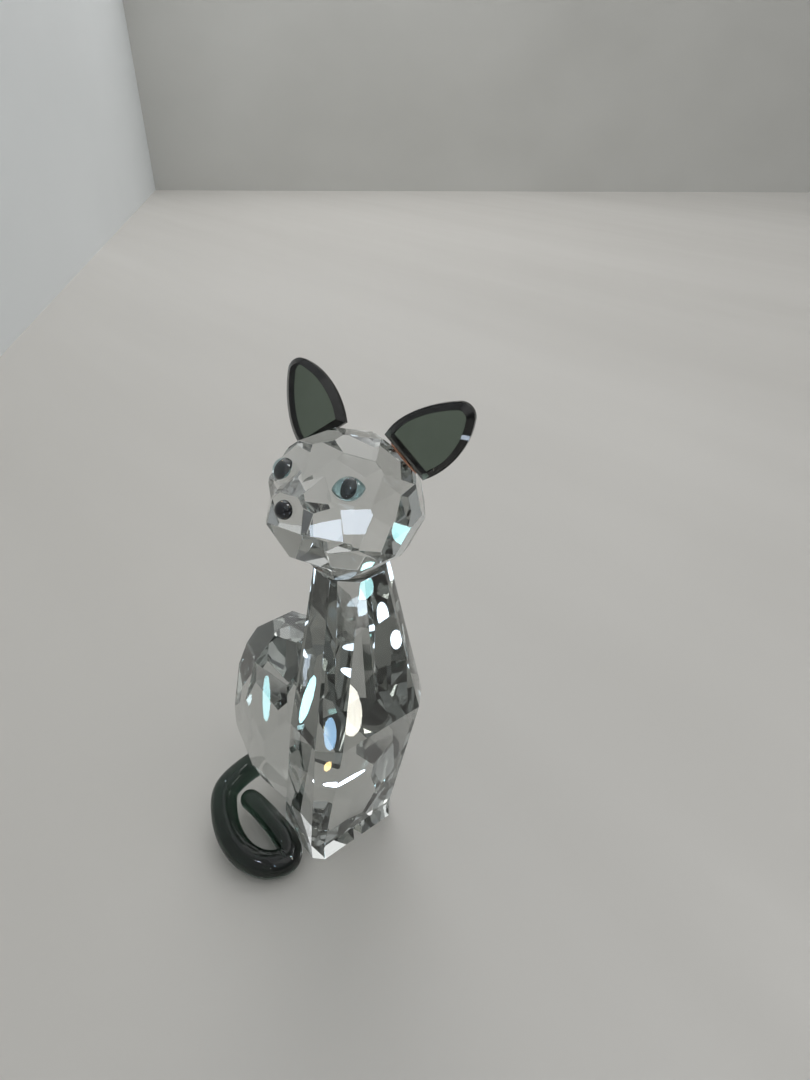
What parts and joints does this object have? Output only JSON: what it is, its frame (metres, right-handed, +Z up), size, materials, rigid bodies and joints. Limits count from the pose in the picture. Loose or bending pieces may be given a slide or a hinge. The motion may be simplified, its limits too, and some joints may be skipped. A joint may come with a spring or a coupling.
{
  "type": "crystal glass figurine",
  "caption": "Sitting cat figurine in smoky cut crystal, with glued-on dark glass ears and curled tail, glass eyes and a black glass nose.",
  "frame": {"origin": "on the table, on the body's middle plane, under the haunches and forelegs", "axes": "+Z up, -Y towards the chest and the front paws, +X to the cat's left, away from the tail"},
  "size_m": [0.0283, 0.0364, 0.0749],
  "materials": {
    "smoky_crystal": "smoky grey full-lead crystal, ground and polished in flat facets",
    "dark_green_glass": "green-black pressed and lampworked glass, fire-polished",
    "eye_glass": "pale grey-green glass, polished dome",
    "black_glass": "opaque black glass, polished dome",
    "clear_adhesive": "clear cured adhesive"
  },
  "bodies": {
    "root": {"body_crystal": "smoky_crystal", "neck_glue": "clear_adhesive", "head_crystal": "smoky_crystal", "ear_left": "dark_green_glass", "ear_right": "dark_green_glass", "ear_glue_left": "clear_adhesive", "ear_glue_right": "clear_adhesive", "eye_left": "eye_glass", "eye_right": "eye_glass", "pupil_left": "black_glass", "pupil_right": "black_glass", "eye_glue_left": "clear_adhesive", "eye_glue_right": "clear_adhesive", "nose": "black_glass", "nose_glue": "clear_adhesive", "tail": "dark_green_glass", "tail_glue": "clear_adhesive"}
  },
  "joints": []
}
